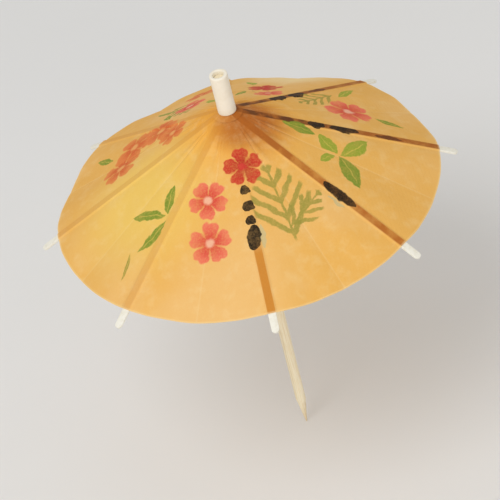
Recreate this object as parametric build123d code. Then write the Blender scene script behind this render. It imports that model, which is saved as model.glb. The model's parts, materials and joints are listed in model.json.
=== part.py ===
from build123d import *
import math
import os

# A paper cocktail umbrella on a wooden pick, open, point down. Millimetres and degrees.
# The origin is the tip of the pick, and +Z runs up the stick.

# Driving sizes: the stick
overall_length = 100.0
stick_radius = 1.2
stick_top_recess = 1.0
stick_top_chamfer = 0.15
shank_radius = 1.15
shank_length = 15.0
shank_taper_length = 3.0
point_length = 7.0
point_tip_radius = 0.12

# Driving sizes: the tube on top
finial_length = 10.0
finial_radius = 2.0
finial_edge_radius = 0.35

# Driving sizes: the canopy paper
rib_count = 8
rib_open_angle = 61.5
canopy_slant = 48.5
paper_thickness = 0.12
ridge_gap = 0.15
crease_gap = 0.05
centre_gap = 0.12

# Driving sizes: ribs and stretchers
rib_width = 1.7
rib_head_width = 1.2
rib_head_taper = 6.0
rib_thickness = 0.6
rib_overhang = 4.4
stretcher_pivot_distance = 18.0
stretcher_width = 1.4
stretcher_thickness = 0.5
tab_length = 3.4
tab_width = 1.4
tab_thickness = 0.3
tab_setback = 0.6

# Driving sizes: the runner and its ring
runner_wall = 1.05
collar_height = 2.4
sleeve_length = 10.0
sleeve_seam_step = 0.1
ring_wall = 0.75
ring_height = 2.6
ring_edge_radius = 0.2

# Clearances
glue_gap = 0.02
seat_gap = 0.03
hinge_gap = 0.1
pivot_gap = 0.08
runner_clearance = 0.08
ring_clearance = 0.03

# Directions of the rib that lies over +X, in the plane Y = 0
rib_angle = math.radians(rib_open_angle)
rib_run = Vector(math.sin(rib_angle), 0, -math.cos(rib_angle))
rib_up = Vector(math.cos(rib_angle), 0, math.sin(rib_angle))
cone_drop = 1 / math.tan(rib_angle)
rib_spacing = 360 / rib_count
half_spacing = math.radians(rib_spacing / 2)

# The paper between two ribs is flat, so it dips away from each rib's top by this angle
gore_dip = math.atan(math.cos(rib_angle) * math.tan(half_spacing))
half_gore_angle = math.asin(math.sin(rib_angle) * math.sin(half_spacing))
paper_rise = paper_thickness / 2 / math.sin(rib_angle)

# Radii about the stick
runner_bore = stick_radius + runner_clearance
runner_radius = runner_bore + runner_wall
hinge_radius = runner_radius + hinge_gap + rib_thickness / 2
hub_radius = hinge_radius - rib_thickness / 2 - hinge_gap
glued_bore = stick_radius + glue_gap

# Heights, from the top down
stick_top = overall_length - stick_top_recess
finial_base = overall_length - finial_length
apex_height = finial_base - seat_gap - paper_rise + finial_radius * cone_drop
ridge_lift = (
    rib_thickness / 2
    + rib_width / 2 * math.tan(gore_dip)
    + paper_thickness / 2 / math.cos(gore_dip)
    + seat_gap
)
apex_to_hinge = (hinge_radius + ridge_lift * rib_up.X) / rib_run.X
hinge_height = apex_height + apex_to_hinge * rib_run.Z - ridge_lift * rib_up.Z
apex = Vector(0, 0, apex_height)
rib_hinge = Vector(hinge_radius, 0, hinge_height)
rib_length = canopy_slant - apex_to_hinge + rib_overhang

# The stretcher is as long as its pivot is far from the rib's hinge, so the two mirror each other
pivot_drop = rib_thickness / 2 + pivot_gap + stretcher_thickness / 2
stretcher_length = math.hypot(stretcher_pivot_distance, pivot_drop)
stretcher_angle = rib_angle - math.atan(pivot_drop / stretcher_pivot_distance)
stretcher_pivot = rib_hinge + rib_run * stretcher_pivot_distance - rib_up * pivot_drop
stretcher_run = Vector(-math.sin(stretcher_angle), 0, -math.cos(stretcher_angle))
stretcher_up = Vector(math.cos(stretcher_angle), 0, -math.sin(stretcher_angle))
collar_pivot = stretcher_pivot + stretcher_run * stretcher_length
collar_bottom = collar_pivot.Z - collar_height / 2
sleeve_top = collar_bottom - seat_gap
sleeve_bottom = sleeve_top - sleeve_length
ring_top = sleeve_bottom - seat_gap


def turned(points):
    """A solid of revolution about the stick from its outline of (radius, height) points."""
    return revolve(Plane.XZ * make_face(Polyline(*points, close=True)), Axis.Z)


def tube(outer_radius, bore_radius, bottom, height):
    """A plain tube about the stick."""
    wall = Cylinder(outer_radius, height) - Cylinder(bore_radius, height)
    return Pos(0, 0, bottom + height / 2) * wall


def round_nose(thickness, width):
    """The rounded hinge end of a strip: a cylinder across the strip, at its own origin."""
    return Rot(90, 0, 0) * Cylinder(thickness / 2, width)


def paper_height(radius):
    """The height of the middle of the paper over a rib, at this radius."""
    return apex_height - radius * cone_drop


def make_stick():
    shank_top = point_length + shank_length
    return turned(
        [
            (0, 0),
            (point_tip_radius, 0),
            (shank_radius, point_length),
            (shank_radius, shank_top),
            (stick_radius, shank_top + shank_taper_length),
            (stick_radius, stick_top - stick_top_chamfer),
            (stick_radius - stick_top_chamfer, stick_top),
            (0, stick_top),
        ]
    )


def make_finial():
    """A tube whose lower end is coned to sit on the paper."""
    cone_top = paper_height(glued_bore) + paper_rise + seat_gap
    body = turned(
        [
            (glued_bore, cone_top),
            (finial_radius, finial_base),
            (finial_radius, overall_length),
            (glued_bore, overall_length),
        ]
    )
    top_edges = body.edges().group_by(Axis.Z)[-1]
    return fillet(top_edges, finial_edge_radius)


def make_rib_hub():
    top_of = lambda radius: paper_height(radius) - paper_rise - seat_gap
    bottom = hinge_height - rib_thickness
    return turned(
        [
            (glued_bore, bottom),
            (hub_radius, bottom),
            (hub_radius, top_of(hub_radius)),
            (glued_bore, top_of(glued_bore)),
        ]
    )


def make_canopy_centre():
    inner = glued_bore
    outer = (apex_to_hinge * rib_run.X) - centre_gap
    return turned(
        [
            (inner, paper_height(inner) - paper_rise),
            (outer, paper_height(outer) - paper_rise),
            (outer, paper_height(outer) + paper_rise),
            (inner, paper_height(inner) + paper_rise),
        ]
    )


def make_rib():
    half = rib_width / 2
    head = rib_head_width / 2
    tip_start = rib_length - half
    left_side = Polyline((0, -head), (rib_head_taper, -half), (tip_start, -half))
    tip = ThreePointArc((tip_start, -half), (rib_length, 0), (tip_start, half))
    right_side = Polyline((tip_start, half), (rib_head_taper, half), (0, head), (0, -head))
    strip = extrude(make_face(left_side + tip + right_side), rib_thickness / 2, both=True)
    rib = strip + round_nose(rib_thickness, rib_head_width)
    return Plane(rib_hinge, x_dir=rib_run, z_dir=rib_up) * rib


def make_rib_tab():
    middle = stretcher_pivot_distance - tab_setback - tab_length / 2
    drop = (rib_thickness + tab_thickness) / 2
    tab = Pos(middle, 0, -drop) * Box(tab_length, tab_width, tab_thickness)
    return Plane(rib_hinge, x_dir=rib_run, z_dir=rib_up) * tab


def make_stretcher():
    strip = Pos(stretcher_length / 2, 0, 0) * Box(stretcher_length, stretcher_width, stretcher_thickness)
    nose = round_nose(stretcher_thickness, stretcher_width)
    stretcher = strip + nose + Pos(stretcher_length, 0, 0) * nose
    return Plane(stretcher_pivot, x_dir=stretcher_run, z_dir=stretcher_up) * stretcher


def make_leaf():
    """The leaf of paper from a rib's ridge to the crease midway to the next rib, counter-clockwise."""
    inner = apex_to_hinge + centre_gap

    def at(distance, angle):
        return distance * math.cos(angle), distance * math.sin(angle)

    def ridge_turn(distance):
        return math.asin(ridge_gap / distance)

    def crease_turn(distance):
        return half_gore_angle - math.asin(crease_gap / distance)

    def arc(distance, start, end):
        return ThreePointArc(at(distance, start), at(distance, (start + end) / 2), at(distance, end))

    rim = arc(canopy_slant, ridge_turn(canopy_slant), crease_turn(canopy_slant))
    neck = arc(inner, crease_turn(inner), ridge_turn(inner))
    ridge = Line(neck @ 1, rim @ 0)
    crease = Line(rim @ 1, neck @ 0)
    leaf = extrude(make_face(ridge + rim + crease + neck), paper_thickness / 2, both=True)
    next_run = rib_run.rotate(Axis.Z, rib_spacing)
    outward = rib_run.cross(next_run).normalized()
    return Plane(apex, x_dir=rib_run, z_dir=outward) * leaf


def make_paper_sleeve():
    """A roll of newsprint: its outside is a spiral of two half circles with a step at the seam."""
    small = runner_radius - sleeve_seam_step
    first_half = ThreePointArc((small, 0), (0, small), (-small, 0))
    second_centre = sleeve_seam_step / 2
    second_radius = small + sleeve_seam_step / 2
    second_half = ThreePointArc((-small, 0), (second_centre, -second_radius), (runner_radius, 0))
    outside = make_face(first_half + second_half + Line((runner_radius, 0), (small, 0)))
    return Pos(0, 0, sleeve_bottom) * extrude(outside - Circle(runner_bore), sleeve_length)


def make_retaining_ring():
    bore = stick_radius + ring_clearance
    ring = tube(bore + ring_wall, bore, ring_top - ring_height, ring_height)
    outer_edges = ring.edges().filter_by(GeomType.CIRCLE).group_by(SortBy.RADIUS)[-1]
    return fillet(outer_edges, ring_edge_radius)


nodes = {
    "stick": make_stick(),
    "finial": make_finial(),
    "rib_hub": make_rib_hub(),
    "canopy_centre": make_canopy_centre(),
    "runner_collar": tube(runner_radius, runner_bore, collar_bottom, collar_height),
    "paper_sleeve": make_paper_sleeve(),
    "retaining_ring": make_retaining_ring(),
}

first_rib = make_rib()
first_tab = make_rib_tab()
first_stretcher = make_stretcher()
first_left_leaf = make_leaf()
first_right_leaf = mirror(first_left_leaf, about=Plane.XZ)

for number in range(1, rib_count + 1):
    turn = Rot(0, 0, (number - 1) * rib_spacing)
    nodes[f"rib_{number}"] = turn * first_rib
    nodes[f"rib_tab_{number}"] = turn * first_tab
    nodes[f"stretcher_{number}"] = turn * first_stretcher
    nodes[f"leaf_{number}_left"] = turn * first_left_leaf
    nodes[f"leaf_{number}_right"] = turn * first_right_leaf

os.makedirs("parts", exist_ok=True)
for name, shape in nodes.items():
    export_step(shape, f"parts/{name}.step")
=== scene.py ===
import bpy
import json
import math
from mathutils import Matrix, Vector, noise


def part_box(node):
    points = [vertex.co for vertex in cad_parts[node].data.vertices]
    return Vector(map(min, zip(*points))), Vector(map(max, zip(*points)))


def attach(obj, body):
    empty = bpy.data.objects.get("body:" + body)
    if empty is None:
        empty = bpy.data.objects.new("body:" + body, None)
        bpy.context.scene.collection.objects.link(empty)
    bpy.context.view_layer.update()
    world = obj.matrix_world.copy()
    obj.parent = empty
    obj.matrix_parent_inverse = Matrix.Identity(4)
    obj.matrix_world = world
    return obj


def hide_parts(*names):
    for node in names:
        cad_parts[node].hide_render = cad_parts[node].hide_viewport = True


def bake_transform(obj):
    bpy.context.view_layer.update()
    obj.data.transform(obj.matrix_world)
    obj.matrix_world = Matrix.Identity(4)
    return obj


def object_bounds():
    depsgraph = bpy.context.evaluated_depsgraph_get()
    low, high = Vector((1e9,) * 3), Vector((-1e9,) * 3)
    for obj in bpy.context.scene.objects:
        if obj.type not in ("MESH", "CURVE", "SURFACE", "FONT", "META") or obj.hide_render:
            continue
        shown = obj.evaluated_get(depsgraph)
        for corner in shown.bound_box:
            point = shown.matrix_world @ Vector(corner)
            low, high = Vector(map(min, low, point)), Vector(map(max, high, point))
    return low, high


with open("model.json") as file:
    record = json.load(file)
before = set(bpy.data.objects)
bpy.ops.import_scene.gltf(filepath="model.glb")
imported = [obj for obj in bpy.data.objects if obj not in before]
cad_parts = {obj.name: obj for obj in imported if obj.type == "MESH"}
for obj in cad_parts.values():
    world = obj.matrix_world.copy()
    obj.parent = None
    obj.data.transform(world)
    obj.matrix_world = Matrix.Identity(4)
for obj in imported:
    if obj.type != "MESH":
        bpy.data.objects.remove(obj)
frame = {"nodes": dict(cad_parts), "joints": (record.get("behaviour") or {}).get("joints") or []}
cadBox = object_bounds()
joints = {joint["name"]: joint for joint in frame["joints"]}
mm = 0.001
ribCount = sum(name.startswith("rib_tab_") for name in frame["nodes"])


# small maths
def ease(low, high, value):
    share = min(max((value - low) / (high - low), 0.0), 1.0)
    return share * share * (3 - 2 * share)


def wander(*at):
    return noise.noise(Vector(at))  # smooth, from about -1 to 1, the same in every run


def tone(*eightBit):
    light = [v / 255 for v in eightBit]
    return tuple(v / 12.92 if v < 0.04045 else ((v + 0.055) / 1.055) ** 2.4 for v in light) + (1.0,)


# shader kit
class Sock:  # one socket of a material: maths on it adds Math nodes
    def __init__(self, tree, socket=None):
        self.tree = tree
        self.socket = socket

    def node(self, kind, settings=None, inputs=None, out=0):
        made = self.tree.nodes.new("ShaderNode" + kind)
        for key, value in (settings or {}).items():
            setattr(made, key, value)
        for key, value in (inputs or {}).items():
            if isinstance(value, Sock):
                self.tree.links.new(value.socket, made.inputs[key])
            else:
                made.inputs[key].default_value = value
        return Sock(self.tree, made.outputs[out])

    def maths(self, operation, other=0.0, swapped=False):
        ends = (other, self) if swapped else (self, other)
        return self.node("Math", {"operation": operation}, {0: ends[0], 1: ends[1]})

    def __add__(self, other):
        return self.maths("ADD", other)

    def __sub__(self, other):
        return self.maths("SUBTRACT", other)

    def __rsub__(self, other):
        return self.maths("SUBTRACT", other, swapped=True)

    def __mul__(self, other):
        return self.maths("MULTIPLY", other)

    def __pow__(self, other):
        return self.maths("POWER", other)

    def __abs__(self):
        return self.maths("ABSOLUTE")

    __radd__ = __add__
    __rmul__ = __mul__

    def between(self, low, high):  # a soft step from 0 at low to 1 at high
        ends = {"Value": self, "From Min": low, "From Max": high}
        return self.node("MapRange", {"interpolation_type": "SMOOTHSTEP"}, ends)

    def pick(self, low, high, how="MIX"):  # this mask mixes two colours
        return self.node("Mix", {"data_type": "RGBA", "blend_type": how}, {0: self, 6: low, 7: high}, 2)

    def over(self, mask, colour, how="MIX"):  # this colour with another laid on it
        return mask.pick(self, colour, how)

    def stretch(self, *factors):
        return self.node("VectorMath", {"operation": "MULTIPLY"}, {0: self, 1: factors})

    def length(self):
        return self.node("VectorMath", {"operation": "LENGTH"}, {0: self}, 1)

    def noise(self, scale, detail=2.0, rough=0.5):
        wanted = {"Vector": self, "Scale": scale, "Detail": detail, "Roughness": rough}
        return self.node("TexNoise", None, wanted)

    def split(self):
        first = self.node("SeparateXYZ", None, {0: self})
        return [Sock(self.tree, socket) for socket in first.socket.node.outputs]


def newMaterial(name, fixed):
    material = bpy.data.materials.new(name)
    material.use_nodes = True
    shader = material.node_tree.nodes["Principled BSDF"]
    for key, value in fixed.items():
        shader.inputs[key].default_value = value
    return material, Sock(material.node_tree), shader


def feed(shader, **sockets):
    for key, sock in sockets.items():
        name = {"colour": "Base Color", "rough": "Roughness", "normal": "Normal"}[key]
        shader.id_data.links.new(sock.socket, shader.inputs[name])


def bumped(height, depth):
    return height.node("Bump", None, {"Distance": depth * mm, "Height": height})


def placeMm(root):  # where a point lies on the object at rest, in millimetres
    place = root.node("TexCoord", None, None, 3)
    return place.stretch(1 / mm, 1 / mm, 1 / mm)


def held(root, name):  # a value that the mesh carries at its points
    return root.node("Attribute", {"attribute_name": name}, None, 1)


# mesh kit: everything below is worked out in millimetres and made in metres
def makePiece(name, points, faces, material, sharpAngle=40, values=None):
    mesh = bpy.data.meshes.new(name)
    mesh.from_pydata([Vector(p) * mm for p in points], [], faces)
    for key, rows in (values or {}).items():
        kept = mesh.attributes.new(key, "FLOAT_VECTOR", "POINT")
        kept.data.foreach_set("vector", [v for row in rows for v in row])
    mesh.polygons.foreach_set("use_smooth", [True] * len(mesh.polygons))
    mesh.set_sharp_from_angle(angle=math.radians(sharpAngle))
    mesh.materials.append(material)
    mesh.update()
    piece = bpy.data.objects.new(name, mesh)
    bpy.context.scene.collection.objects.link(piece)
    return piece


def loft(rings, closed=False):  # quads between rings of points, capped at the ends unless it closes
    size = len(rings[0])
    count = len(rings)
    points = [p for ring in rings for p in ring]
    faces = []
    for row in range(count if closed else count - 1):
        here, there = row * size, (row + 1) % count * size
        for i in range(size):
            j = (i + 1) % size
            faces.append((here + i, here + j, there + j, there + i))
    if not closed:
        faces.append(tuple(range(size))[::-1])
        faces.append(tuple(range((count - 1) * size, count * size)))
    return points, faces


def lathe(outline, segments, shape=None):  # rings about the stick for each (radius, height) of an outline
    rings = []
    for radius, height in outline:
        ring = []
        for i in range(segments):
            turn = 2 * math.pi * i / segments
            r, z = shape(radius, height, turn) if shape else (radius, height)
            ring.append((r * math.cos(turn), r * math.sin(turn), z))
        rings.append(ring)
    return rings


def roundedOutline(corners, radius, steps=4):  # a closed outline with each corner rounded
    outline = []
    for i, corner in enumerate(corners):
        here = Vector(corner)
        before, after = Vector(corners[i - 1]) - here, Vector(corners[(i + 1) % len(corners)]) - here
        reach = min(radius, before.length * 0.45, after.length * 0.45)
        start, end = here + before.normalized() * reach, here + after.normalized() * reach
        for step in range(steps + 1):
            t = step / steps
            outline.append(tuple(start * (1 - t) ** 2 + here * 2 * t * (1 - t) + end * t * t))
    return outline


def paperSolid(grid, above, below, wrap=False):  # a sheet's two faces and its edge, from its middle surface
    rows, columns = len(grid), len(grid[0])
    points = []
    for offsets in (above, below):
        for pointRow, offsetRow in zip(grid, offsets):
            points += [p + offset for p, offset in zip(pointRow, offsetRow)]
    under = rows * columns
    faces = []
    for r in range(rows - 1):
        for c in range(columns if wrap else columns - 1):
            d = (c + 1) % columns
            quad = (r * columns + c, r * columns + d, (r + 1) * columns + d, (r + 1) * columns + c)
            faces.append(quad)
            faces.append(tuple(i + under for i in reversed(quad)))
    last = (rows - 1) * columns
    if wrap:
        edge = [(last + c, last + (c + 1) % columns) for c in range(columns)]
        edge += [((c + 1) % columns, c) for c in range(columns)]
    else:
        edge = [(r * columns, (r + 1) * columns) for r in range(rows - 1)]
        edge += [(last + c, last + c + 1) for c in range(columns - 1)]
        edge += [((r + 1) * columns - 1, r * columns - 1) for r in range(rows - 1, 0, -1)]
        edge += [(c + 1, c) for c in range(columns - 2, -1, -1)]
    faces += [(a, b, b + under, a + under) for a, b in edge]
    return points, faces


def rowOffsets(normals, halves):  # half a thickness for each row of a sheet
    return [[n * half for n in row] for row, half in zip(normals, halves)]


def strip(start, run, side, up, length, halfWidth, thickness, look, seed):  # a board strip with soft edges
    half = thickness / 2
    turns = [math.radians(a) for a in range(0, 91, 18)]  # a quarter turn
    stations = [(0, half)]
    if look["roundStart"]:
        stations = [(-half * math.cos(a), half * math.sin(a)) for a in turns[1:]]
    body = [length * i / look["stations"] for i in range(1, look["stations"])]
    tip = halfWidth(length)
    if look["end"] == "tip":  # rounded as seen from above
        body = [s for s in body if s < length - tip]
        ends = [(length - tip + tip * math.sin(a), half, tip * math.cos(a)) for a in turns[:-1]]
        ends.append((length, half, tip * look["tipFlat"]))
    elif look["end"] == "nose":  # rounded as seen from the side
        ends = [(length + half * math.sin(a), half * math.cos(a), tip) for a in turns[:-1]]
    else:
        ends = [(length, half, tip)]
    stations += [(s, half) for s in body]
    stations = [(s, deep, halfWidth(max(s, 0))) for s, deep in stations] + ends
    still = look["stillEnd"]  # the ends don't warp
    rings = []
    for s, deep, wide in stations:
        wide *= 1 + look["ragged"] * wander(s * look["raggedPitch"], seed, 3.1)
        lift = look["warp"] * wander(s * look["warpPitch"], seed, 9.7)
        lift *= ease(0, still, s) * ease(0, still, length - s)
        corners = [(wide, deep), (-wide, deep), (-wide, -deep), (wide, -deep)]
        ring = roundedOutline(corners, look["edge"], 3)
        rings.append([start + run * s + side * across + up * (height + lift) for across, height in ring])
    return loft(rings)


# the camera stands where the photograph's did: in front, looking down, tipped a little to the right
view = dict(azimuth=2.2, elevation=38.0, roll=14.5, lens=260.0, frameWidth=0.110, sensor=36.0)


def objectCorners(name):
    return [v.co for v in frame["nodes"][name].data.vertices]


def makeCamera():
    turn, lift, roll = (math.radians(view[k]) for k in ("azimuth", "elevation", "roll"))
    back = Vector((math.sin(turn) * math.cos(lift), -math.cos(turn) * math.cos(lift), math.sin(lift)))
    right = Vector((math.cos(turn), math.sin(turn), 0))
    above = back.cross(right)
    camRight = right * math.cos(roll) - above * math.sin(roll)
    camUp = right * math.sin(roll) + above * math.cos(roll)
    # the middle of the object as the camera sees it
    tips = [Vector(corner) for name in frame["nodes"] for corner in objectCorners(name)]
    sides, heights = [p.dot(camRight) for p in tips], [p.dot(camUp) for p in tips]
    middle = camRight * (min(sides) + max(sides)) / 2 + camUp * (min(heights) + max(heights)) / 2
    depth = (cadBox[0] + cadBox[1]).dot(back) / 2
    distance = view["frameWidth"] * view["lens"] / view["sensor"]
    data = bpy.data.cameras.new("camera")
    data.lens, data.sensor_width = view["lens"], view["sensor"]
    camera = bpy.data.objects.new("camera", data)
    bpy.context.scene.collection.objects.link(camera)
    camera.matrix_world = Matrix.Translation(middle + back * (depth + distance)) @ Matrix(
        (camRight, camUp, back)
    ).transposed().to_4x4()
    data.clip_start, data.clip_end = 0.01, 10
    bpy.context.scene.camera = camera


makeCamera()
print("camera placed")

# light: a broad soft lamp from the upper left, and an even pale surround
studio = dict(
    keyFrom=(-0.24, -0.36, 0.66), keySize=0.45, keyLevel=0.37, fillFrom=(0.2, -0.8, 0.18), fillSize=0.6,
    fillLevel=0.17, aim=(0, 0, 0.07), surround=0.62, backdrop=0.86, floorSize=4.0,
    floorTone=tone(232, 231, 228), floorCloud=tone(236, 235, 233), cloudScale=0.02,
)


def makeLamp(name, at, size, level):
    lamp = bpy.data.lights.new(name, "AREA")
    away = Vector(at) - Vector(studio["aim"])
    lamp.shape, lamp.size = "DISK", size
    lamp.energy = level * math.pi**2 * away.length_squared  # level 1 shows a white facing card as white
    holder = bpy.data.objects.new(name, lamp)
    holder.location = at
    holder.rotation_euler = away.to_track_quat("Z", "Y").to_euler()
    bpy.context.scene.collection.objects.link(holder)


def makeStudio():
    makeLamp("keyLamp", studio["keyFrom"], studio["keySize"], studio["keyLevel"])
    makeLamp("fillLamp", studio["fillFrom"], studio["fillSize"], studio["fillLevel"])
    world = bpy.data.worlds.new("surround")
    bpy.context.scene.world = world
    world.use_nodes = True
    glow = world.node_tree.nodes["Background"]
    root = Sock(world.node_tree)
    rays = root.node("LightPath").socket.node.outputs
    kinds = ("Camera", "Glossy", "Transmission")
    looks = [Sock(world.node_tree, rays[f"Is {kind} Ray"]) for kind in kinds]
    seen = looks[0].maths("MAXIMUM", looks[1]).maths("MAXIMUM", looks[2])
    level = seen * (studio["backdrop"] - studio["surround"]) + studio["surround"]
    world.node_tree.links.new(level.socket, glow.inputs["Strength"])
    glow.inputs["Color"].default_value = (1, 1, 1, 1)
    half = studio["floorSize"] / 2 / mm
    material, root, shader = newMaterial("paleFloor", {"Roughness": 0.85, "Specular IOR Level": 0.2})
    clouds = placeMm(root).noise(studio["cloudScale"], 3)
    feed(shader, colour=clouds.pick(studio["floorTone"], studio["floorCloud"]))
    corners = [(-half, -half, 0), (half, -half, 0), (half, half, 0), (-half, half, 0)]
    floor = makePiece("floor", corners, [(0, 1, 2, 3)], material)
    bpy.context.scene.view_settings.view_transform = "Standard"


makeStudio()
print("studio lit")

# canopy paper: one printed sheet over eight ribs, cut into leaves along its creases
canopy = dict(
    openAngle=61.5, slant=48.5, paper=0.12, boreRadius=1.22, neck=3.05, ribHalfWidth=0.85, ribHeadHalf=0.6,
    ribHeadTaper=6.0, ribThickness=0.6, glueGap=0.005,
    rows=48, rowCrowding=0.45, fieldColumns=14, shoulderSpan=5.0,
    shoulders=(0, 0.3, 0.6, 0.76, 0.86, 0.95, 1.06, 1.2, 1.4, 1.7, 2.1, 2.7, 3.4),
    # how the paper leaves the rib and dips beside it
    ridgeRound=3.2, ribFade=1.6, shoulderDip=0.24, shoulderRound=0.28, shoulderFade=1.9, shoulderPeak=0.75,
    shoulderFrom=(4, 13), flatTo=7.5, creaseFlat=0.6,
    # how it swells and wavers between the ribs; the ranges are distances from the top
    puff=0.5, puffGrowth=1.4, sway=0.45, flutter=0.3, flutterFrom=(36, 48),
    pucker=0.12, puckerIn=(4, 10), puckerOut=(9, 20), crumple=0.05, rimWander=0.14, rimShare=0.9,
    # the crease between two leaves; the two fold distances beside the rib are worked into points that are
    # not used
    creaseReach=0.45, creaseAbove=0.35, creaseBelow=0.06, foldStart=0.12, foldEnd=1.1, sharpAngle=50,
)
openAngle = math.radians(canopy["openAngle"])
halfSpacing = math.pi / ribCount
halfGore = math.asin(math.sin(openAngle) * math.sin(halfSpacing))
goreDip = math.atan(math.cos(openAngle) * math.tan(halfSpacing))
up = Vector((0, 0, 1))
paperRise = canopy["paper"] / 2 / math.sin(openAngle)
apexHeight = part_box("canopy_centre")[1].z / mm - paperRise + canopy["boreRadius"] / math.tan(openAngle)
apex = Vector((0, 0, apexHeight))


class Rib:  # where a rib lies: its hinge, and the directions along, across and out of it
    def __init__(self, number):
        self.number = number
        self.hinge = Vector(joints[f"rib_{number}_hinge"]["pos_m"]) / mm
        self.outward = Vector((self.hinge.x, self.hinge.y, 0)).normalized()
        self.tangent = up.cross(self.outward)
        self.run = self.along(self.outward)
        self.rise = self.outward * math.cos(openAngle) + up * math.sin(openAngle)
        self.lift = (apex - self.hinge).dot(self.rise)  # from the rib's middle up to the paper's ridge
        fromFront = math.atan2(self.outward.x, -self.outward.y)
        self.step = round(fromFront / (2 * math.pi) * ribCount)  # counter-clockwise from the front rib

    def along(self, outward):
        return outward * math.sin(openAngle) - up * math.cos(openAngle)


ribs = [Rib(number) for number in range(1, ribCount + 1)]


def ribHalfAt(distance):  # half the rib's width, this far from its hinge
    share = min(max(distance / canopy["ribHeadTaper"], 0), 1)
    return canopy["ribHeadHalf"] + (canopy["ribHalfWidth"] - canopy["ribHeadHalf"]) * share


def leafColumns(width):  # places across a leaf, close together beside the rib
    scale = min(1, width / canopy["shoulderSpan"])
    beside = [d * scale for d in canopy["shoulders"]]
    rest = width - beside[-1]
    count = canopy["fieldColumns"]
    return beside + [beside[-1] + rest * (i + 1) / count for i in range(count)]


def paperHeight(rib, across, width, along, seed):  # how far the paper stands off a flat fold
    share = across / width
    half = ribHalfAt(along - canopy["neck"])
    flat = rib.lift - canopy["ribThickness"] / 2 - canopy["paper"] / 2 - canopy["glueGap"]
    beyond = max(across - half, 0)
    onRib = min(across, half) * math.tan(goreDip) - flat
    shoulder = 1 - math.exp(-((beyond / canopy["shoulderRound"]) ** 2))
    shoulder *= math.exp(-beyond / canopy["shoulderFade"]) / canopy["shoulderPeak"]
    height = onRib * math.exp(-beyond / canopy["ribFade"])
    height -= canopy["shoulderDip"] * shoulder * ease(*canopy["shoulderFrom"], along)
    height *= (1 - ease(canopy["creaseFlat"], 1.0, share)) * ease(canopy["neck"], canopy["flatTo"], along)
    field = min(max((across - half) / max(width - half, 0.01), 0), 1)
    swell = math.sin(math.pi * field)
    reach = along / canopy["slant"]
    fullness = 0.75 + 0.5 * wander(seed * 1.7, 4.4, 0.3)
    height += canopy["puff"] * fullness * swell * reach ** canopy["puffGrowth"]
    height += canopy["sway"] * wander(along * 0.075, field * 1.6, seed * 2.3) * swell * reach
    waver = wander(field * 2.7, seed * 3.1, 7.7)
    height += canopy["flutter"] * waver * swell * ease(*canopy["flutterFrom"], along)
    gathered = ease(*canopy["puckerIn"], along) * (1 - ease(*canopy["puckerOut"], along))
    height += canopy["pucker"] * math.sin(3 * math.pi * field) * gathered
    crumple = wander(along * 0.42, across * 0.55, seed * 5.9)
    return height + canopy["crumple"] * crumple * math.sqrt(max(swell, 0))


def onSheet(distance, degrees):  # the paper laid flat, with the front rib pointing down
    turn = math.radians(degrees - 90)
    return Vector((distance * math.cos(turn), distance * math.sin(turn), 0))


def sheetStep(rib, sign):  # the sheet is cut open along the back rib
    return -rib.step if abs(rib.step) == ribCount / 2 and rib.step * sign > 0 else rib.step


def leafShape(rib, hand):
    sign = 1 if hand == "left" else -1
    tangent = rib.tangent * sign
    nextRun = rib.along(rib.outward * math.cos(2 * halfSpacing) + tangent * math.sin(2 * halfSpacing))
    goreUp = rib.run.cross(nextRun).normalized() * sign
    side = (nextRun - rib.run * nextRun.dot(rib.run)).normalized()
    step = sheetStep(rib, sign)
    seed = rib.number + (0.5 if sign > 0 else 0)
    shape = dict(grid=[], above=[], below=[], place=[], sheet=[], fold=[], side=side)
    for level in range(canopy["rows"] + 1):
        share = level / canopy["rows"]
        share += (ease(0, 1, share) - share) * canopy["rowCrowding"]  # rows lie closer at both ends
        gridRow, aboveRow, belowRow = [], [], []
        inner = canopy["neck"] + (canopy["slant"] - canopy["neck"]) * share
        width = inner * math.sin(halfGore)
        for across in leafColumns(width):
            angle = math.asin(min(across / inner, 1))
            flatAt = rib.run * math.cos(angle) + side * math.sin(angle)
            ragged = wander(flatAt.x * 9, flatAt.y * 9, 2.5) * canopy["rimWander"]
            along = inner + ragged * ease(canopy["rimShare"], 1, share)
            mix = ease(0, canopy["ridgeRound"], across)
            normal = (rib.rise * (1 - mix) + goreUp * mix).normalized()
            height = paperHeight(rib, across, width, along, seed)
            point = apex + flatAt * along + normal * height
            # the paper thins towards the crease, where two leaves fold together
            full = min((width - across) / canopy["creaseReach"], 1)
            half = normal * canopy["paper"] / 2
            gridRow.append(point)
            aboveRow.append(half * (canopy["creaseAbove"] + (1 - canopy["creaseAbove"]) * full))
            belowRow.append(-half * (canopy["creaseBelow"] + (1 - canopy["creaseBelow"]) * full))
            shape["place"].append(point)
            shape["sheet"].append(onSheet(along, math.degrees(step * 2 * halfGore + sign * angle)))
            shape["fold"].append((across, width - across, canopy["slant"] - inner))
        for key, row in (("grid", gridRow), ("above", aboveRow), ("below", belowRow)):
            shape[key].append(row if sign < 0 else row[::-1])  # clockwise, so that faces turn outward
        if sign > 0:
            count = len(gridRow)
            for key in ("place", "sheet", "fold"):
                shape[key][-count:] = shape[key][-count:][::-1]
    return shape


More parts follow.
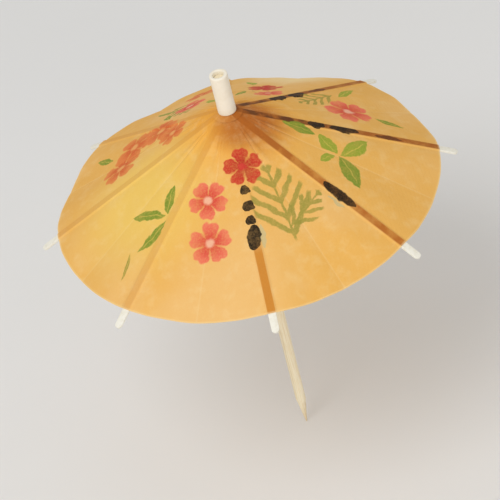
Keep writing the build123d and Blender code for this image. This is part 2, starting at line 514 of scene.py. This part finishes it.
# the print: blossoms, leaves, ferns and brush strokes, each placed by its distance from the top
# and by degrees round the flat sheet from the front rib
printTones = dict(
    darkRed=(tone(186, 36, 28), tone(204, 64, 42), tone(214, 58, 54)),
    coral=(tone(216, 74, 58), tone(236, 120, 92), tone(250, 205, 170)),
    orangeRed=(tone(214, 96, 46), tone(230, 134, 70), tone(244, 188, 112)),
    leafGreen=tone(126, 148, 46), brightGreen=tone(150, 166, 52), olive=tone(160, 150, 64),
    brown=tone(104, 58, 20), black=tone(34, 24, 3), ash=tone(208, 188, 134),
)
blossoms = [
    dict(at=(14.3, 2.6), radius=4.9, turn=18, tint="darkRed"),
    dict(at=(21.2, -22.8), radius=5.0, turn=40, tint="coral"),
    dict(at=(30.8, -18.4), radius=5.4, turn=5, tint="coral"),
    dict(at=(31.6, -95), radius=5.7, turn=25, tint="orangeRed"),
    dict(at=(29.8, -106.5), radius=5.6, turn=60, tint="orangeRed"),
    dict(at=(23.0, -113), radius=5.2, turn=10, tint="orangeRed"),
    dict(at=(17.0, -104), radius=4.4, turn=35, tint="orangeRed"),
    dict(at=(31.4, 97.6), radius=6.0, turn=33, tint="coral"),
    dict(at=(31.0, 141), radius=4.6, turn=50, tint="darkRed"),
    dict(at=(22.5, 133), radius=3.8, turn=15, tint="coral"),
    dict(at=(29.5, -140), radius=4.4, turn=28, tint="coral"),
    dict(at=(38.6, -148), radius=4.2, turn=48, tint="orangeRed"),
]
leaves = [
    dict(base=(26.5, -42.5), tip=(19.6, -49.6), width=0.17, bend=0.25, tint="leafGreen"),
    dict(base=(26.8, -43), tip=(31.2, -59.4), width=0.15, bend=-0.2, tint="leafGreen"),
    dict(base=(27.2, -42), tip=(36.6, -46.6), width=0.14, bend=0.3, tint="leafGreen"),
    dict(base=(37.0, -49.5), tip=(43.6, -45.4), width=0.08, bend=0.2, tint="olive"),
    dict(base=(25.8, 61), tip=(20.6, 70.5), width=0.27, bend=0.2, tint="brightGreen"),
    dict(base=(26.4, 60.5), tip=(31.8, 74.5), width=0.23, bend=-0.25, tint="brightGreen"),
    dict(base=(26.0, 60), tip=(33.4, 47.5), width=0.23, bend=0.2, tint="leafGreen"),
    dict(base=(25.4, 59.5), tip=(22.8, 50), width=0.23, bend=-0.15, tint="brightGreen"),
    dict(base=(12.4, 74), tip=(20.2, 68.5), width=0.2, bend=0.2, tint="leafGreen"),
    dict(base=(33.5, 109), tip=(40.5, 113), width=0.16, bend=0.2, tint="brightGreen"),
    dict(base=(36.6, 93), tip=(42.5, 88), width=0.15, bend=-0.2, tint="leafGreen"),
    dict(base=(25.8, -126), tip=(31.5, -131), width=0.17, bend=0.2, tint="leafGreen"),
    dict(base=(36.2, -104), tip=(42.5, -107), width=0.15, bend=0.2, tint="leafGreen"),
    dict(base=(26.5, 148), tip=(20.0, 152), width=0.15, bend=0.2, tint="leafGreen"),
    dict(base=(35.5, 147), tip=(42.0, 151), width=0.16, bend=-0.2, tint="brightGreen"),
    dict(base=(25.0, -147), tip=(18.0, -151), width=0.15, bend=-0.2, tint="brightGreen"),
    dict(base=(34.0, -136), tip=(40.5, -133), width=0.16, bend=0.2, tint="leafGreen"),
]
strokes = [  # brush marks on the ribs, and thin stems
    dict(base=(28.0, 3.4), tip=(33.6, 2.7), width=0.13, bend=0.05, tint="ash"),
    dict(base=(29.3, 35.4), tip=(34.0, 36.2), width=0.1, bend=0.05, tint="ash"),
    dict(base=(18.8, 1.5), tip=(20.7, -1.7), width=0.54, bend=0.1, tint="black"),
    dict(base=(22.4, -0.4), tip=(24.7, 0.4), width=0.64, bend=-0.1, tint="black"),
    dict(base=(26.7, -2.6), tip=(27.0, 2.2), width=0.5, bend=0.1, tint="black"),
    dict(base=(28.0, 0.5), tip=(33.8, -1.2), width=0.27, bend=0.05, tint="black"),
    dict(base=(26.8, 39.3), tip=(35.4, 39.3), width=0.165, bend=0.03, tint="black"),
    dict(base=(12.2, 78.6), tip=(15.2, 78.2), width=0.28, bend=0.1, tint="brown"),
    dict(base=(18.4, 78.8), tip=(22.4, 78.3), width=0.32, bend=0.1, tint="black"),
    dict(base=(23.2, 78.6), tip=(29.8, 78.8), width=0.2, bend=-0.04, tint="black"),
    dict(base=(33.6, 78.6), tip=(40.0, 78.4), width=0.12, bend=0.04, tint="brown"),
    dict(base=(14.8, 117.9), tip=(20.4, 117.6), width=0.25, bend=0.05, tint="black"),
    dict(base=(21.4, 117.7), tip=(26.6, 118.1), width=0.24, bend=-0.05, tint="black"),
    dict(base=(28.4, 117.9), tip=(34.2, 117.8), width=0.14, bend=0.04, tint="brown"),
    dict(base=(38.5, -92), tip=(16.0, -104), width=0.010, bend=0.3, tint="brown"),
    dict(base=(34.0, 150), tip=(18.0, 128), width=0.012, bend=-0.1, tint="brown"),
]
ferns = [
    dict(base=(34.6, 14.5), tip=(15.0, 20.5), width=0.34, fronds=5, tint="olive"),
    dict(base=(31.0, 14.5), tip=(27.5, 36), width=0.3, fronds=4, tint="olive"),
    dict(base=(33.0, 112), tip=(20.5, 108), width=0.24, fronds=5, tint="olive"),
    dict(base=(38.0, -138), tip=(22.0, -132), width=0.22, fronds=6, tint="olive"),
]
paperLook = dict(
    warm=tone(234, 181, 93), peach=tone(240, 198, 136), lemon=tone(240, 204, 100), hub=tone(238, 166, 50),
    band=tone(208, 138, 46), crease=tone(178, 98, 24), edge=tone(250, 226, 172), under=tone(240, 196, 116),
    # the brown laid beside the tube's foot is painted shade cast by the tube, with the rib marks meeting
    # there
    soot=tone(72, 44, 16), ribsAndTubeShade=tone(178, 102, 36), showThrough=0.45,
    cloudScale=0.055, blotchScale=0.35, fibreScale=2.6, hubReach=(22, 5), hubStrength=0.8,
    shakeScale=0.55, shake=1.3, relief=0.05, laidPitch=7.0,
)
# the yellower wash on the left is partly the paper's own tone and partly painted light on the side facing
# the lamp
washes = [  # a tone, its middle on the sheet, how far it reaches and how strong it is
    # the brown washes near the top, beside the tube's foot, are painted shade of the tube, with the rib
    # marks meeting there
    ("lemon", (27, -62), 24, 0.75), ("peach", (42, -10), 20, 0.5), ("ribsAndTubeShade", (6.0, 62), 12, 0.95),
    # the pale wash at the back right of the rim is painted sheen on paper seen at a grazing angle
    ("ribsAndTubeShade", (5.5, 8), 6.5, 0.6), ("edge", (48, 138), 15.5, 0.7),
]
ribMarks = {  # how strongly a rib shows: a band, partly glue and partly painted shade of the rib under the paper; a dark line of painted ridge shade, strongest on the right-hand ribs away from the lamp; dark ink near the top and all along
    7: dict(band=0.95, bandFrom=33, line=0.1, dark=0.0, dull=0.0),
    8: dict(band=0.1, bandFrom=4, line=0.9, dark=0.1, dull=0.0),
    1: dict(band=0.1, bandFrom=4, line=0.95, dark=0.6, dull=0.2),
    2: dict(band=0.1, bandFrom=4, line=0.9, dark=0.65, dull=0.25),
}
plainRib = dict(band=0.16, bandFrom=4, line=0.12, dark=0.0, dull=0.0)


def localTo(sheet, base, heading, scale):
    placed = {"Vector": sheet, "Location": base, "Rotation": (0, 0, heading), "Scale": (scale, scale, 1)}
    return sheet.node("Mapping", {"vector_type": "TEXTURE"}, placed)


def towards(sheet, motif):  # coordinates that run from a motif's base at 0 to its tip at 1
    base, tip = onSheet(*motif["base"]), onSheet(*motif["tip"])
    away = tip - base
    return localTo(sheet, base, math.atan2(away.y, away.x), away.length).split()[:2]


def addBlossom(colour, sheet, ink, motif):
    deep, pale, heart = printTones[motif["tint"]]
    local = localTo(sheet, onSheet(*motif["at"]), math.radians(motif["turn"]), motif["radius"])
    across, along, _ = local.split()
    reach = local.length()
    lobe = abs((along.maths("ARCTAN2", across) * 2.5).maths("COSINE"))
    outline = lobe**0.5 * 0.48 + 0.5 - lobe**14 * 0.1  # five round petals, notched at their ends
    petals = (outline - reach).between(0.0, 0.09) * ink
    tint = reach.between(0.2, 0.85).pick(deep, pale)
    tint = tint.over(lobe.between(0.34, 0.1) * reach.between(0.16, 0.4) * 0.5, colour)
    colour = colour.over(petals, tint)
    return colour.over(reach.between(0.26, 0.1) * 0.7, heart)


def addLeaf(colour, sheet, ink, motif):
    along, across = towards(sheet, motif)
    body = along * (1 - along)
    off = abs(across - body * motif["bend"])
    blade = (body * (4 * motif["width"]) - off).between(0.0, 0.035) * ink
    colour = colour.over(blade, printTones[motif["tint"]])
    vein = off.between(0.022, 0.006) * along.between(0.05, 0.2) * along.between(0.9, 0.7)
    return colour.over(vein * blade * 0.45, paperLook["lemon"])


def addStroke(colour, sheet, ink, motif):
    along, across = towards(sheet, motif)
    body = along * (1 - along)
    off = abs(across - body * motif["bend"])
    mark = (body**0.5 * (2 * motif["width"]) - off).between(0.0, 0.03)
    return colour.over(mark * (ink * 0.6 + 0.4), printTones[motif["tint"]])


def addFern(colour, sheet, ink, motif):
    along, across = towards(sheet, motif)
    spread = abs(across)
    teeth = (along - spread * 1.2) * motif["fronds"]
    comb = abs(teeth.maths("FRACT") - 0.5)
    inside = (along * (1 - along) * (4 * motif["width"]) - spread).between(0.0, 0.05)
    stem = spread.between(0.02, 0.006) * along.between(0.0, 0.05) * along.between(1.0, 0.9)
    mask = stem.maths("MAXIMUM", comb.between(0.3, 0.17) * inside)
    return colour.over(mask * ink * 0.95, printTones[motif["tint"]])


def meets(motif, points):  # whether a motif reaches any of these places on the sheet
    if "at" in motif:
        centre, reach = onSheet(*motif["at"]), motif["radius"]
    else:
        base, tip = onSheet(*motif["base"]), onSheet(*motif["tip"])
        centre, reach = (base + tip) / 2, (tip - base).length * 0.62
    return any((p - centre).length < reach + 0.9 for p in points)


def makePaper(name, ribNumber, points):
    material, root, shader = newMaterial(name, {"Specular IOR Level": 0.25})
    place, sheet, fold = held(root, "place"), held(root, "sheet"), held(root, "fold")
    ridge, crease, rim = fold.split()
    side = held(root, "side").split()[0]
    away = sheet.length()
    cloudy = place.noise(paperLook["cloudScale"], 3)
    blotch = place.noise(paperLook["blotchScale"], 4, 0.6)
    fibre = place.noise(paperLook["fibreScale"], 6, 0.62)
    # the paper: warm and cloudy, with paler and yellower washes, and deepest near the top; the yellower
    # wash on the left is partly painted light, the brown washes beside the tube are painted shade, and the
    # pale wash at the back of the rim is painted sheen
    base = (cloudy.between(0.42, 0.66) * 0.35).pick(paperLook["warm"], paperLook["peach"])
    base = base.over(away.between(*paperLook["hubReach"]) * paperLook["hubStrength"], paperLook["hub"])
    for tint, at, reach, strength in washes:
        centred = localTo(sheet, onSheet(*at), 0, reach)
        base = base.over(centred.length().between(1.0, 0.15) * strength, paperLook[tint])
    base = base.over(blotch.between(0.45, 0.75) * 0.18, paperLook["edge"])
    # the ribs show through as a darker band, partly glue and partly painted shade of the rib under the
    # paper; a dark line of painted ridge shade marks their edges, and the folds are marked
    broken = blotch.between(0.3, 0.62)
    marks = ribMarks.get(ribNumber, plainRib)
    if not ribNumber:  # the middle meets every rib, so its mesh carries their marks
        marks = dict(plainRib, **dict(zip(("line", "dark", "dull"), held(root, "marks").split())))
    # band: the glue's tone plus painted shade of the rib seen through the paper
    band = ridge.between(1.02, 0.75) * away.between(marks["bandFrom"] - 2, marks["bandFrom"] + 2)
    colour = base.over(band * marks["band"], paperLook["band"])
    # painted shade along each ridge, strongest on the right-hand ribs
    line = ridge.between(1.05, 0.65) * (broken * 0.35 + 0.65) * marks["line"]
    colour = colour.over(line, paperLook["crease"])
    sooty = away.between(32, 20) * broken * marks["dark"] + marks["dull"]
    colour = colour.over(line * sooty, paperLook["soot"])
    colour = colour.over(crease.between(0.3, 0.0) * 0.14 * away.between(8, 14), paperLook["edge"])
    # the print sinks unevenly into the paper
    shaken = {"Vector": place, "Scale": paperLook["shakeScale"], "Detail": 3.0}
    shake = place.node("TexNoise", None, shaken, 1)
    shake = shake.node("VectorMath", {"operation": "SUBTRACT"}, {0: shake, 1: (0.5, 0.5, 0.5)})
    far = (paperLook["shake"], paperLook["shake"], 0)
    drawn = shake.node("VectorMath", {"operation": "MULTIPLY_ADD"}, {0: shake, 1: far, 2: sheet})
    ink = fibre.between(0.2, 0.6) * 0.3 + blotch.between(0.25, 0.6) * 0.2 + 0.5
    layers = ((ferns, addFern), (leaves, addLeaf), (blossoms, addBlossom), (strokes, addStroke))
    for motifs, draw in layers:
        for motif in motifs:
            if meets(motif, points):
                colour = draw(colour, drawn, ink, motif)
    colour = colour.over((1 - side) * (1 - paperLook["showThrough"]), paperLook["under"])
    colour = colour.over(rim.between(0.5, 0.05) * 0.4, paperLook["edge"])
    colour = colour.over((fibre - 0.5) * 0.25 + 0.08, paperLook["crease"], "SOFT_LIGHT")
    feed(shader, colour=colour, rough=fibre * 0.2 + 0.68)
    laid = (sheet.split()[0] * paperLook["laidPitch"]).maths("SINE")
    relief = fibre + blotch * 0.8 + laid * 0.08
    feed(shader, normal=bumped(relief, paperLook["relief"]))
    return material


def makeLeaf(rib, hand):
    name = f"leaf_{rib.number}_{hand}"
    shape = leafShape(rib, hand)
    points, faces = paperSolid(shape["grid"], shape["above"], shape["below"])
    values = {key: shape[key] * 2 for key in ("place", "sheet", "fold")}
    count = len(shape["place"])
    values["side"] = [(1, 0, 0)] * count + [(0, 0, 0)] * count
    material = makePaper(f"canopyPaper-{rib.number}-{hand}", rib.number, shape["sheet"])
    piece = makePiece("canopy_" + name, points, faces, material, canopy["sharpAngle"], values)
    onRidge = apex + rib.run * canopy["slant"] / 2
    (onRidge + shape["side"] * canopy["foldStart"]) * mm
    (onRidge + shape["side"] * canopy["foldEnd"]) * mm
    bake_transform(piece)
    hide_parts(name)


for rib in ribs:
    for hand in ("left", "right"):
        makeLeaf(rib, hand)
print("canopy made:", 2 * ribCount, "leaves")

# the round middle of the paper, held under the tube on top
centre = dict(
    outer=3.16, rows=14, columns=96, over=0.08, pucker=0.004, lapStart=2.1, lapFrom=2.62,
    thinFrom=2.25, thinTo=0.15,
)


def makeCentre():
    grid, normals, halves = [], [], []
    values = {key: [] for key in ("place", "sheet", "fold", "marks")}
    slide = math.sin(openAngle)
    for row in range(centre["rows"]):
        gridRow, normalRow = [], []
        share = row / (centre["rows"] - 1)
        radius = canopy["boreRadius"] + (centre["outer"] - canopy["boreRadius"]) * share
        along = radius / slide
        for column in range(centre["columns"]):
            turn = -2 * math.pi * column / centre["columns"]
            outward = Vector((math.cos(turn), math.sin(turn), 0))
            normal = outward * math.cos(openAngle) + up * slide
            lap = centre["over"] + centre["pucker"] * math.sin(turn * 2 * ribCount)
            lift = lap * ease(centre["lapStart"], centre["lapFrom"], radius)
            point = apex + (outward * slide - up * math.cos(openAngle)) * along + normal * lift
            gridRow.append(point)
            normalRow.append(normal)
            # the nearest rib gives the place on the sheet, the fold lines and the marks
            rib = max(ribs, key=lambda other: other.outward.dot(outward))
            offset = math.atan2(rib.outward.cross(outward).z, rib.outward.dot(outward))
            angle = sheetStep(rib, offset) * 2 * halfGore + offset * halfGore / halfSpacing
            aside = abs(offset) * slide
            marks = ribMarks.get(rib.number, plainRib)
            values["place"].append(point)
            values["sheet"].append(onSheet(along, math.degrees(angle)))
            values["fold"].append((along * aside, along * (halfSpacing * slide - aside), canopy["slant"]))
            values["marks"].append((marks["line"], marks["dark"], marks["dull"]))
        grid.append(gridRow)
        normals.append(normalRow)
        thin = 1 - (1 - centre["thinTo"]) * ease(centre["thinFrom"], centre["lapFrom"], radius)
        halves.append(canopy["paper"] / 2 * thin)
    below = rowOffsets(normals, [-half for half in halves])
    points, faces = paperSolid(grid, rowOffsets(normals, halves), below, wrap=True)
    count = len(values["place"])
    values = {key: rows * 2 for key, rows in values.items()}
    values["side"] = [(1, 0, 0)] * count + [(0, 0, 0)] * count
    material = makePaper("canopyPaper-middle", 0, [])
    piece = makePiece("canopy_middle", points, faces, material, canopy["sharpAngle"], values)
    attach(piece, "stick")
    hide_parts("canopy_centre")


makeCentre()
print("canopy middle made")

# white board: ribs, their tabs, stretchers, hub and collar
boardLook = dict(
    pale=tone(240, 236, 222), shade=tone(222, 213, 188), speck=tone(188, 172, 138), stations=26,
    edge=0.154, tipFlat=0.08, ragged=0.03, raggedPitch=0.9, warp=0.05, warpPitch=0.08, stillEnd=6,
)
ribLook = dict(boardLook, roundStart=True, end="tip")
tabLook = dict(
    boardLook, roundStart=False, end="square", stations=8, ragged=0.05, warp=0,
    halfWidth=0.7, thickness=0.3, length=3.4, setback=0.6,
)
stretcherLook = dict(boardLook, roundStart=True, end="nose", stations=14, halfWidth=0.7, thickness=0.5)


def makeBoard():
    material, root, shader = newMaterial("whiteBoard", {"Specular IOR Level": 0.3})
    place = placeMm(root)
    pulp = place.noise(0.9, 5, 0.6)
    hairs = place.stretch(1.0, 1.0, 3.0).noise(3.2, 6, 0.7)
    colour = (pulp.between(0.42, 0.72) * 0.55).pick(boardLook["pale"], boardLook["shade"])
    colour = colour.over(hairs.between(0.62, 0.8) * 0.5, boardLook["speck"])
    feed(shader, colour=colour, rough=pulp * 0.2 + 0.68, normal=bumped(hairs + pulp, 0.04))
    return material


whiteBoard = makeBoard()
ribTipRun = max((Vector(v) / mm - ribs[0].hinge).dot(ribs[0].run) for v in objectCorners("rib_1"))


def finishPiece(name, body, node, slotName, points, faces, material, sharp=40):
    piece = makePiece(name, points, faces, material, sharp)
    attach(piece, body)
    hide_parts(node)
    return piece


def makeRibs():
    for rib in ribs:
        n = rib.number
        shape = strip(
            rib.hinge, rib.run, rib.tangent, rib.rise, ribTipRun, ribHalfAt, canopy["ribThickness"],
            ribLook, n * 1.3,
        )
        finishPiece(f"rib_strip_{n}", f"rib_{n}", f"rib_{n}", "white_board", *shape, whiteBoard)
        pivot = Vector(joints[f"stretcher_{n}_hinge"]["pos_m"]) / mm
        reach = (pivot - rib.hinge).dot(rib.run)
        drop = (canopy["ribThickness"] + tabLook["thickness"]) / 2
        start = rib.hinge + rib.run * (reach - tabLook["setback"] - tabLook["length"]) - rib.rise * drop
        shape = strip(
            start, rib.run, rib.tangent, rib.rise, tabLook["length"], lambda s: tabLook["halfWidth"],
            tabLook["thickness"], tabLook, n * 2.7,
        )
        finishPiece(f"stretcher_tab_{n}", f"rib_{n}", f"rib_tab_{n}", "white_board", *shape, whiteBoard)
        # the stretcher mirrors the rib's inner stretch, down to the collar
        inner = Vector((rib.hinge.x, rib.hinge.y, 2 * pivot.z - rib.hinge.z))
        away = (inner - pivot).normalized()
        shape = strip(
            pivot, away, rib.tangent, away.cross(rib.tangent), (inner - pivot).length,
            lambda s: stretcherLook["halfWidth"], stretcherLook["thickness"], stretcherLook, n * 4.1,
        )
        body = f"stretcher_{n}"
        finishPiece(f"stretcher_strip_{n}", body, body, "white_board", *shape, whiteBoard)


makeRibs()
print("ribs, tabs and stretchers made")

# hub and collar: wound board rings
ringLook = dict(
    segments=72, soft=0.14, groove=0.12, grooveHeight=0.8, grooveSlope=0.7, collarPlay=0.06,
)


def turnedRing(corners, soft, steps, segments):  # a ring about the stick with rounded corners
    return loft(lathe(roundedOutline(corners, soft, steps), segments), closed=True)


def makeHub():
    low, high = (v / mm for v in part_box("rib_hub"))
    bore, outer = canopy["boreRadius"], high.x
    shoulder = high.z - (outer - bore) / math.tan(openAngle)
    corners = [(bore, low.z), (outer, low.z), (outer, shoulder), (bore, high.z)]
    shape = turnedRing(corners, ringLook["soft"], 4, ringLook["segments"])
    finishPiece("rib_hub_ring", "stick", "rib_hub", "white_board", *shape, whiteBoard)


def makeCollar():
    low, high = (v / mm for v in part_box("runner_collar"))
    bore, outer = canopy["boreRadius"] + ringLook["collarPlay"], high.x
    inner = outer - ringLook["groove"]
    middle, half = (low.z + high.z) / 2, ringLook["grooveHeight"] / 2
    floor = half * ringLook["grooveSlope"]
    corners = [
        (bore, low.z), (outer, low.z), (outer, middle - half), (inner, middle - floor),
        (inner, middle + floor), (outer, middle + half), (outer, high.z), (bore, high.z),
    ]
    shape = turnedRing(corners, ringLook["soft"], 4, ringLook["segments"])
    finishPiece("runner_collar_ring", "runner", "runner_collar", "white_board", *shape, whiteBoard)


makeHub()
makeCollar()
print("hub and collar made")

# the roll of newsprint under the collar
roll = dict(
    turns=4.3, paper=0.15, rows=13, perTurn=40, wobble=0.02, lean=0.08, bore=1.28, play=0.01, sharpAngle=50,
)
newsLook = dict(pale=tone(214, 208, 190), shade=tone(186, 178, 158), mark=tone(120, 116, 108))


def makeNewsprint():
    material, root, shader = newMaterial("newsprint", {"Specular IOR Level": 0.2})
    place = placeMm(root)
    pulp = place.noise(1.4, 6, 0.65)
    smudge = place.stretch(1.6, 1.6, 0.5).noise(0.8, 3)
    colour = (pulp.between(0.4, 0.7) * 0.6).pick(newsLook["pale"], newsLook["shade"])
    colour = colour.over(smudge.between(0.55, 0.75) * 0.35, newsLook["mark"])
    feed(shader, colour=colour, rough=pulp * 0.15 + 0.78, normal=bumped(pulp, 0.05))
    return material


def makeRoll():
    low, high = (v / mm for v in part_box("paper_sleeve"))
    start = roll["bore"] + roll["paper"] / 2 + roll["play"]
    end = high.x - roll["paper"] / 2 - roll["play"]
    count = int(roll["turns"] * roll["perTurn"])
    grid, normals = [], []
    for row in range(roll["rows"]):
        gridRow, normalRow = [], []
        share = row / (roll["rows"] - 1)
        for column in range(count + 1):
            turn = 2 * math.pi * roll["turns"] * column / count
            radius = start + (end - start) * column / count
            radius += roll["wobble"] * wander(math.cos(turn), math.sin(turn), share * 3 + column * 0.01)
            radius = min(max(radius, start), end)
            outward = Vector((math.cos(turn), math.sin(turn), 0))
            telescoped = roll["lean"] * (column / count - 1)  # the inner turns stand back a little
            z = low.z - telescoped * (1 - share) + (high.z - low.z + telescoped) * share
            gridRow.append(outward * radius + up * z)
            normalRow.append(outward)
        grid.append(gridRow)
        normals.append(normalRow)
    length = sum((a - b).length for a, b in zip(grid[0], grid[0][1:]))
    halves = [roll["paper"] / 2] * roll["rows"]
    below = rowOffsets(normals, [-half for half in halves])
    shape = paperSolid(grid, rowOffsets(normals, halves), below)
    look = (makeNewsprint(), roll["sharpAngle"])
    piece = finishPiece("newsprint_roll", "runner", "paper_sleeve", "newsprint", *shape, *look)


makeRoll()
print("newsprint roll made")

# the tight plastic ring that keeps it open
holdRing = dict(milky=tone(226, 228, 224), haze=tone(206, 210, 206), soft=0.28, segments=64, play=0.01)


def makeRing():
    glossy = {"Coat Weight": 0.3, "Coat Roughness": 0.15, "IOR": 1.5}
    material, root, shader = newMaterial("clearPlastic", glossy)
    haze = placeMm(root).noise(1.1, 3)
    colour = (haze.between(0.4, 0.7) * 0.7).pick(holdRing["milky"], holdRing["haze"])
    feed(shader, colour=colour, rough=haze * 0.2 + 0.22, normal=bumped(haze, 0.03))
    low, high = (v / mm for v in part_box("retaining_ring"))
    bore, outer = canopy["boreRadius"] + holdRing["play"], high.x
    corners = [(bore, low.z), (outer, low.z), (outer, high.z), (bore, high.z)]
    shape = turnedRing(corners, holdRing["soft"], 6, holdRing["segments"])
    finishPiece("retaining_ring_plastic", "ring", "retaining_ring", "clear_plastic", *shape, material)


makeRing()
print("ring made")

# the tube on top
tube = dict(
    cream=tone(244, 236, 218), deepCream=tone(228, 212, 180), footFrom=2.2, footTo=0.2,
    segments=64, soft=0.38, sideSteps=16, sideEnd=0.6, boreRound=0.3, waist=0.06,
    slant=0.12, slantFrom=0.9, slantTurn=0.6,
)


def makeTube():
    material, root, shader = newMaterial("creamPlastic", {"Specular IOR Level": 0.4, "IOR": 1.46})
    place = placeMm(root)
    cloud = place.noise(0.5, 4)
    scuff = place.stretch(1, 1, 0.35).noise(2.4, 5, 0.65)
    _, _, height = place.split()
    low, high = (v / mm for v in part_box("finial"))
    colour = (cloud.between(0.45, 0.72) * 0.25).pick(tube["cream"], tube["deepCream"])
    # darker towards the foot, where the tube stands in the paper
    foot = height.between(low.z + tube["footFrom"], low.z + tube["footTo"])
    colour = colour.over(foot * 0.45, tube["deepCream"])
    feed(shader, colour=colour, rough=scuff * 0.22 + 0.36, normal=bumped(scuff, 0.03))
    bore, outer, tall = canopy["boreRadius"], high.x, high.z - low.z
    inner = low.z + (outer - bore) / math.tan(openAngle)
    corners = [(bore, inner), (outer, low.z), (outer, high.z), (bore, high.z)]
    outline = roundedOutline(corners, tube["soft"], 6)
    # more rings up the outside, so that it can draw in at the middle
    gap = (tall - 2 * tube["sideEnd"]) / tube["sideSteps"]
    side = [(outer, low.z + tube["sideEnd"] + gap * i) for i in range(tube["sideSteps"] + 1)]
    first = next(i for i, (r, z) in enumerate(outline) if r > outer - 1e-6 and z > low.z)
    outline = outline[: first + 1] + side + outline[first + 1:]

    def shape(radius, z, turn):
        share = (z - low.z) / tall
        if radius > bore + tube["boreRound"]:  # the bore stays straight
            drawn = math.sin(math.pi * min(max(share, 0), 1))
            radius -= tube["waist"] * drawn * (0.6 + 0.4 * wander(share * 3, turn, 1.0))
        cut = 0.5 - 0.5 * math.cos(turn - tube["slantTurn"])
        z -= tube["slant"] * ease(tube["slantFrom"], 1, share) * cut
        return radius, z

    rings = lathe(outline, tube["segments"], shape)
    finishPiece("top_tube", "stick", "finial", "white_plastic", *loft(rings, closed=True), material)


makeTube()
print("top tube made")

# the wooden pick
pick = dict(
    segments=40, rings=110, pointLength=7.0, pointRings=24, topRings=(0.2, 0.08, 0),
    facets=5, facetDepth=0.56, facetTo=(0.75, 1.15), wobble=0.018, sharpAngle=35,
)
woodLook = dict(
    pale=tone(250, 238, 208), grain=tone(236, 214, 170), streak=tone(210, 178, 128),
    tipTone=tone(222, 196, 150),
)


def pickRadius(z, outline):
    for (z0, r0), (z1, r1) in zip(outline, outline[1:]):
        if z <= z1:
            return r0 + (r1 - r0) * (z - z0) / (z1 - z0)
    return outline[-1][1]


def makePick():
    material, root, shader = newMaterial("pickWood", {"Specular IOR Level": 0.3})
    place = placeMm(root)
    _, _, height = place.split()
    fibre = place.stretch(4.2, 4.2, 0.16).noise(1.0, 6, 0.62)
    streak = place.stretch(2.0, 2.0, 0.05).noise(1.0, 3)
    pore = place.stretch(11, 11, 0.7).noise(1.0, 4)
    colour = (fibre.between(0.4, 0.7) * 0.7).pick(woodLook["pale"], woodLook["grain"])
    colour = colour.over(streak.between(0.55, 0.75) * 0.4, woodLook["streak"])
    colour = colour.over(pore.between(0.6, 0.75) * 0.35, woodLook["streak"])
    colour = colour.over(height.between(pick["pointLength"], 0) * 0.6, woodLook["tipTone"])
    feed(shader, colour=colour, rough=fibre * 0.2 + 0.5, normal=bumped(fibre + pore * 0.6, 0.06))
    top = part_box("stick")[1].z / mm
    corners = [v / mm for v in objectCorners("stick")]
    levels = sorted({round(v.z, 3) for v in corners})
    outline = [(z, max(math.hypot(v.x, v.y) for v in corners if abs(v.z - z) < 0.01)) for z in levels]
    point, below = pick["pointLength"], pick["topRings"]
    heights = [point * (i / pick["pointRings"]) for i in range(pick["pointRings"] + 1)]
    gap = (top - below[0] - point) / pick["rings"]
    heights += [point + gap * (i + 1) for i in range(pick["rings"])]
    heights += [top - down for down in below[1:]]
    rings = []
    for z in heights:
        radius = pickRadius(z, outline)
        ring = []
        for i in range(pick["segments"]):
            turn = 2 * math.pi * i / pick["segments"]
            onPoint = 1 - ease(point * pick["facetTo"][0], point * pick["facetTo"][1], z)
            spread = (turn * pick["facets"] / (2 * math.pi)) % 1 - 0.5
            flat = math.cos(math.pi / pick["facets"]) / math.cos(2 * math.pi * spread / pick["facets"])
            r = radius * (1 + onPoint * ease(0.1, 1.2, z) * pick["facetDepth"] * (flat - 1))
            uneven = wander(math.cos(turn) * 1.3, math.sin(turn) * 1.3, z * 0.12)
            r *= 1 + pick["wobble"] * (uneven - 0.6)  # mostly drawn in from the plain round stick
            ring.append((r * math.cos(turn), r * math.sin(turn), z))
        rings.append(ring)
    finishPiece("wooden_pick", "stick", "stick", "pick_wood", *loft(rings), material, pick["sharpAngle"])


makePick()
print("pick made")
